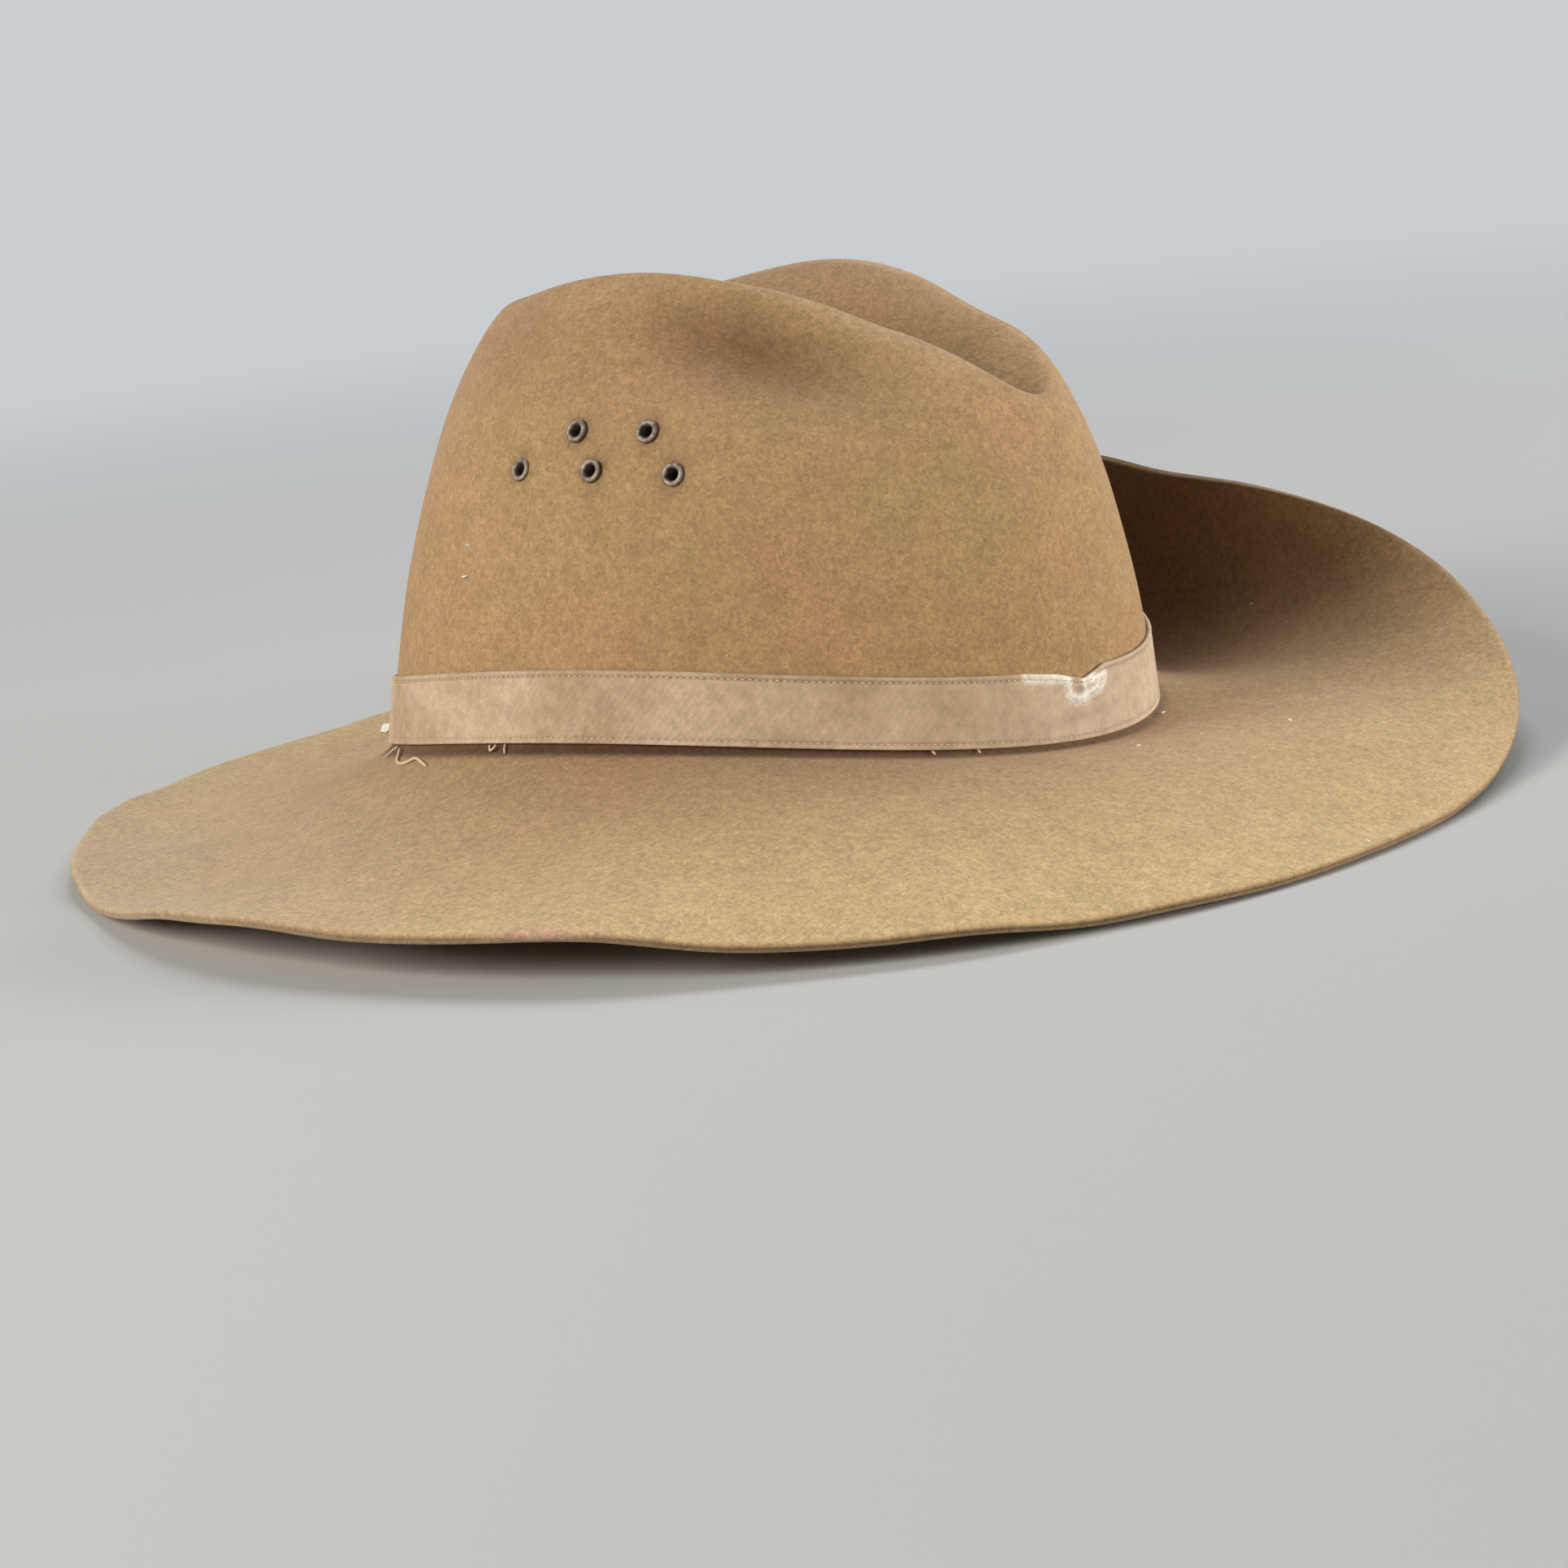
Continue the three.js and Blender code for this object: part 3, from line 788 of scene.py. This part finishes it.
def spindles(centres, ways, sides, lengths, radius):
    """Spindles: radius * sin(a) round the way that each one lies, and length / 2 * cos(a) along
    it, for a from 8 to 172 degrees, with flat ends."""
    corner = 2 * np.pi * np.arange(SPINDLE_SIDES) / SPINDLE_SIDES
    slope = np.radians([8, 50, 90, 130, 172])
    third = np.cross(ways, sides)
    ring = np.cos(corner)[:, None, None] * sides + np.sin(corner)[:, None, None] * third
    reach = np.cos(slope)[:, None, None] * ways * lengths[:, None] / 2
    points = centres + reach[:, None] + radius * np.sin(slope)[:, None, None, None] * ring
    points = points.transpose(2, 0, 1, 3)
    rows = np.arange(len(slope) * SPINDLE_SIDES).reshape(-1, SPINDLE_SIDES)
    around_it = grid_faces(rows, closed=True)[:, ::-1]
    one = np.concatenate([around_it, across_ring(rows[0]), across_ring(rows[-1])[:, ::-1]])
    faces = np.arange(len(centres))[:, None, None] * rows.size + one
    return points.reshape(-1, 3), faces.reshape(-1, 4)


def join(parts):
    """Several pairs of points and faces as one pair."""
    shifts = np.cumsum([0, *(len(points) for points, _ in parts[:-1])])
    faces = [faces + shift for (_, faces), shift in zip(parts, shifts)]
    return np.concatenate([points for points, _ in parts]), np.concatenate(faces)


def seam(level):
    """Row of stitches round the tape at a level across it."""
    turn = (np.arange(STITCHES) + 0.5) / STITCHES
    level = level + 0 * turn
    centres = band_point(turn, level) + 0.06 * outward(turn)
    ways = band_point(turn + 0.0005, level) - band_point(turn - 0.0005, level)
    ways /= np.linalg.norm(ways, axis=1, keepdims=True)
    return spindles(centres, ways, outward(turn), STITCH_LENGTH + 0 * turn, STITCH_RADIUS)


points, faces = join([seam(seam_level), seam(1 - seam_level)])
make_piece("band_stitches", to_frame(points), faces, thread, {})


TUBE_SIDES = 8


def tube(path, radius):
    """Round tube along a path: radius * (cos(a), sin(a)) square to it, a tenth as wide at its
    ends, which are flat."""
    way = np.gradient(path, axis=0)
    way /= np.linalg.norm(way, axis=1, keepdims=True)
    side = np.cross(way, ASKEW)
    side /= np.linalg.norm(side, axis=1, keepdims=True)
    other = np.cross(way, side)
    corner = 2 * np.pi * np.arange(TUBE_SIDES) / TUBE_SIDES
    size = np.full(len(path), radius)
    size[[0, -1]] = radius * 0.1
    ring = np.cos(corner)[:, None] * side[:, None] + np.sin(corner)[:, None] * other[:, None]
    points = path[:, None] + size[:, None, None] * ring
    rows = np.arange(len(path) * TUBE_SIDES).reshape(-1, TUBE_SIDES)
    ends = [across_ring(rows[0])[:, ::-1], across_ring(rows[-1])]
    return points.reshape(-1, 3), np.concatenate([grid_faces(rows, closed=True), *ends])


def smooth_path(points, count):
    """Smooth line through the given points: Catmull-Rom pieces between them."""
    before, after = 2 * points[0] - points[1], 2 * points[-1] - points[-2]
    points = np.array([before, *points, after])
    place = np.linspace(0, len(points) - 3.000001, count)
    index = place.astype(int)
    f = (place - index)[:, None]
    a, b, c, d = (points[index + step] for step in range(4))
    bend = (2 * a - 5 * b + 4 * c - d) * f**2 + (3 * b - a - 3 * c + d) * f**3
    return b + ((c - a) * f + bend) / 2


# Loose ends lie on the brim beside the band: their thread's radius, then turn in degrees, share
# of the brim and height off it in millimetres for each point
LOOSE_ENDS = [
    (0.36, [
        (228, 0.012, 1.2), (230, 0.035, 0.7), (232, 0.056, 0.4), (234.5, 0.066, 0.4),
        (236.5, 0.062, 0.5), (238.5, 0.05, 0.8), (241, 0.058, 0.5), (244.2, 0.078, 0.35),
    ]),
    (0.2, [(226, 0.01, 1.2), (224.5, 0.03, 1), (223.5, 0.05, 0.5)]),
    (0.3, [(255.5, 0.008, 1.3), (256, 0.02, 0.7), (256.8, 0.024, 1.2), (257, 0.012, 1.5)]),
    (0.24, [(258.6, 0.008, 1.4), (259, 0.022, 0.8), (259.4, 0.03, 0.4)]),
    (0.22, [(321.5, 0.01, 1.2), (321.7, 0.022, 0.7)]),
    (0.22, [(328.5, 0.01, 1.2), (328.6, 0.02, 0.7)]),
]


def on_brim_point(at, share, rise):
    """Point at a place on the brim, lifted off it."""
    return brim_point(np.array([at / 360]), np.array([share]))[0] + [0, 0, rise]


points, faces = join([
    tube(smooth_path([on_brim_point(*place) for place in places], 24), radius)
    for radius, places in LOOSE_ENDS
])
make_piece("loose_thread_ends", to_frame(points), faces, thread, {})

# The knot is a tangle that winds round itself: sines of 4, 6 and 6 turns on the three axes
KNOT_AT = 209
KNOT_RADIUS = 0.5
knot_turn = np.array([KNOT_AT / 360])
knot_middle = wall_point(knot_turn, wall_share_at(knot_turn, 4.5)) + 2.2 * outward(knot_turn)
spin = np.linspace(0, 4 * np.pi, 60)
tangle = [0.95 * np.sin(2 * spin), 0.95 * np.cos(3 * spin), 0.7 * np.sin(3 * spin + 1)]
points, faces = tube(knot_middle + np.stack(tangle, axis=-1), KNOT_RADIUS)
make_piece("thread_knot", to_frame(points), faces, white_cotton, {})

# Torn fibres lie along the fraying, scattered a little and each its own way, close to the tape
FIBRES = 620
FIBRE_RADIUS = 0.1
fibre_places = along_fray(FIBRES) + chance.normal(0, 0.3, (FIBRES, 2))
fibre_turns = fibre_places[:, 0] / 360
fibre_levels = np.clip((fibre_places[:, 1] - BAND_SEAT) / BAND_HEIGHT, 0, 1)
fibre_ways = chance.normal(size=(FIBRES, 3))
off_the_tape = (fibre_ways * outward(fibre_turns)).sum(axis=1, keepdims=True)
fibre_ways -= 0.8 * off_the_tape * outward(fibre_turns)
fibre_ways /= np.linalg.norm(fibre_ways, axis=1, keepdims=True)
fibre_sides = np.cross(fibre_ways, ASKEW)
fibre_sides /= np.linalg.norm(fibre_sides, axis=1, keepdims=True)
fibre_middles = band_point(fibre_turns, fibre_levels) + 0.03 * outward(fibre_turns)
fibre_lengths = chance.uniform(0.5, 1.5, FIBRES)
points, faces = spindles(fibre_middles, fibre_ways, fibre_sides, fibre_lengths, FIBRE_RADIUS)
make_piece("frayed_fibres", to_frame(points), faces, white_cotton, {})


# Lint: a few pale specks of fluff caught in the nap of the crown and the brim, each a short
# tuft of fibres that lies against the felt.

# Where round the crown in degrees, with the height, and round the brim, with the share of it
CROWN_LINT = [(246, 47.7), (246, 40.5)]
BRIM_LINT = [(351.5, 0.15), (14, 0.035), (10.5, 0.405), (349, 0.965), (55.75, 0.645), (38.5, 0.905)]
LINT_RISE = 0.3
LINT_RADIUS = 0.28
crown_turns, crown_heights = np.array(CROWN_LINT).T
crown_turns = crown_turns / 360
crown_specks = wall_point(crown_turns, wall_share_at(crown_turns, crown_heights))
crown_specks += LINT_RISE * outward(crown_turns)
brim_turns, brim_places = np.array(BRIM_LINT).T
brim_specks = brim_point(brim_turns / 360, brim_places) + [0, 0, LINT_RISE]
specks = np.concatenate([crown_specks, brim_specks])
speck_ways = chance.normal(size=(len(specks), 3)) * [1, 1, 0.4]
speck_ways /= np.linalg.norm(speck_ways, axis=1, keepdims=True)
speck_sides = np.cross(speck_ways, ASKEW)
speck_sides /= np.linalg.norm(speck_sides, axis=1, keepdims=True)
speck_lengths = chance.uniform(1.2, 2, len(specks))
points, faces = spindles(specks, speck_ways, speck_sides, speck_lengths, LINT_RADIUS)
make_piece("lint", to_frame(points), faces, white_cotton, {})


# Floor and backdrop: a pale studio floor that runs into a curved sweep of the same colour. The
# far parts glow evenly, as paper lit by its own lamps, so that the hat stands before a plain
# ground from every side.

GROUND_COLOUR = linear("#c6c9cb")
GLOW_COLOUR = linear("#c9cdd0")
FLOOR_RADIUS = 1.4
NEAR_FLOOR = 0.35
FAR_FLOOR = 1.3
FLOOR_LEVEL = -0.0005
STAGE_SIDES = 96


def turned_profile(profile):
    """Surface of a profile of (radius, height) points turned round the upright axis."""
    angle = 2 * np.pi * np.arange(STAGE_SIDES) / STAGE_SIDES
    radius, height = np.array(profile, float).T[:, :, None]
    level = height + 0 * angle
    points = np.stack([radius * np.cos(angle), radius * np.sin(angle), level], axis=-1)
    rows = np.arange(len(profile) * STAGE_SIDES).reshape(-1, STAGE_SIDES)
    return points.reshape(-1, 3), grid_faces(rows, closed=True)


def make_stage(name, profile, material):
    """A smooth stage object from a profile."""
    points, faces = turned_profile(profile)
    mesh = bpy.data.meshes.new(name)
    mesh.from_pydata(points, [], faces)
    mesh.shade_smooth()
    mesh.materials.append(material)
    stage = bpy.data.objects.new(name, mesh)
    bpy.context.scene.collection.objects.link(stage)
    return stage


# Painted floor: matt, and from 0.35 m to 1.3 m out it turns evenly into the glowing sweep
paint, tree = new_material("pale_floor_paint")
place = add_node(tree, "ShaderNodeTexCoord", {}, "Object")
distance = add_node(tree, "ShaderNodeVectorMath", {0: place}, "Value", operation="LENGTH")
glow_share = add_node(
    tree,
    "ShaderNodeMapRange",
    {"Value": distance, 1: NEAR_FLOOR, 2: FAR_FLOOR},
    interpolation_type="SMOOTHSTEP",
)
matt = add_node(tree, "ShaderNodeBsdfDiffuse", {"Color": GROUND_COLOUR})
glow = add_node(tree, "ShaderNodeEmission", {"Color": GLOW_COLOUR})
skin = add_node(tree, "ShaderNodeMixShader", {0: glow_share, 1: matt, 2: glow})
add_node(tree, "ShaderNodeOutputMaterial", {"Surface": skin})
make_stage("floor", [(0.001, FLOOR_LEVEL), (FLOOR_RADIUS, FLOOR_LEVEL)], paint)

# Sweep paper: nothing but its glow, and it doesn't light the hat. It rises in a bend to a wall.
SWEEP_BEND = 1.5
SWEEP_DISTANCE = 4
SWEEP_HEIGHT = 6
paper, tree = new_material("sweep_paper")
glow = add_node(tree, "ShaderNodeEmission", {"Color": GLOW_COLOUR})
add_node(tree, "ShaderNodeOutputMaterial", {"Surface": glow})
bend = np.radians(np.linspace(0, 90, 13))
bend_out = SWEEP_DISTANCE - SWEEP_BEND + SWEEP_BEND * np.sin(bend)
bend_up = SWEEP_BEND - SWEEP_BEND * np.cos(bend)
sweep_profile = [
    (FLOOR_RADIUS, FLOOR_LEVEL),
    *np.stack([bend_out, bend_up], axis=1),
    (SWEEP_DISTANCE, SWEEP_HEIGHT),
]
sweep = make_stage("sweep", sweep_profile, paper)
sweep.visible_diffuse = False
sweep.visible_shadow = False


# Lights: a warm softbox on each side, a neutral one above and a weak one behind, in a dim room

ROOM_COLOUR = linear("#e1e2e2")
ROOM_STRENGTH = 0.11
LAMP_SIZE = 0.8
LAMP_DISTANCE = 1.8
world = bpy.data.worlds.new("soft_studio")
world.use_nodes = True
world.node_tree.nodes["Background"].inputs[0].default_value = ROOM_COLOUR
world.node_tree.nodes["Background"].inputs[1].default_value = ROOM_STRENGTH
bpy.context.scene.world = world


def add_light(name, power, turn, rise, colour):
    """A square lamp that faces the hat, at those degrees round and above it."""
    turn, rise = np.radians((turn, rise))
    way = Vector((np.cos(turn) * np.cos(rise), np.sin(turn) * np.cos(rise), np.sin(rise)))
    data = bpy.data.lights.new(name, "AREA")
    data.size = LAMP_SIZE
    data.energy = power
    data.color = linear(colour)[:3]
    light = bpy.data.objects.new(name, data)
    light.location = way * LAMP_DISTANCE
    light.rotation_euler = (-way).to_track_quat("-Z", "Y").to_euler()
    light.visible_camera = False
    bpy.context.scene.collection.objects.link(light)


add_light("left_softbox", 28, -115, 29, "#fff6ea")
add_light("right_softbox", 34, 16, 5, "#fff6ea")
add_light("top_softbox", 10.5, 112, 62, "#f8f9fb")
add_light("back_softbox", 7, 64, 45, "#f8f9fb")

bpy.context.scene.view_settings.view_transform = "Standard"


# Camera: as the photograph, which looks at the hat from its right and a little from the front

VIEW_TURN = np.radians(34)
VIEW_RISE = np.radians(9.5)
VIEW_ROLL = np.radians(-5.73)
VIEW_DISTANCE = 950
FOCAL_PIXELS = 4673.4
IMAGE_PIXELS = 1932
SHIFT_RIGHT = 0.0115
SHIFT_UP = -0.0506
level_back = Vector((np.sin(VIEW_TURN), -np.cos(VIEW_TURN), 0))
back = level_back * np.cos(VIEW_RISE) + Vector((0, 0, 1)) * np.sin(VIEW_RISE)
level_right = Vector((np.cos(VIEW_TURN), np.sin(VIEW_TURN), 0))
level_up = back.cross(level_right)
right = level_right * np.cos(VIEW_ROLL) + level_up * np.sin(VIEW_ROLL)
up = level_up * np.cos(VIEW_ROLL) - level_right * np.sin(VIEW_ROLL)
rest = Matrix(REST_TURN.tolist())
camera_data = bpy.data.cameras.new("camera")
camera_data.lens = camera_data.sensor_width * (FOCAL_PIXELS / IMAGE_PIXELS)
camera_data.shift_x = SHIFT_RIGHT
camera_data.shift_y = SHIFT_UP
camera = bpy.data.objects.new("camera", camera_data)
axes = Matrix([rest @ right, rest @ up, rest @ back]).transposed()
place = (rest @ back * VIEW_DISTANCE + HAT_ORIGIN) / 1000
camera.matrix_world = Matrix.Translation(place) @ axes.to_4x4()
bpy.context.scene.collection.objects.link(camera)
bpy.context.scene.camera = camera
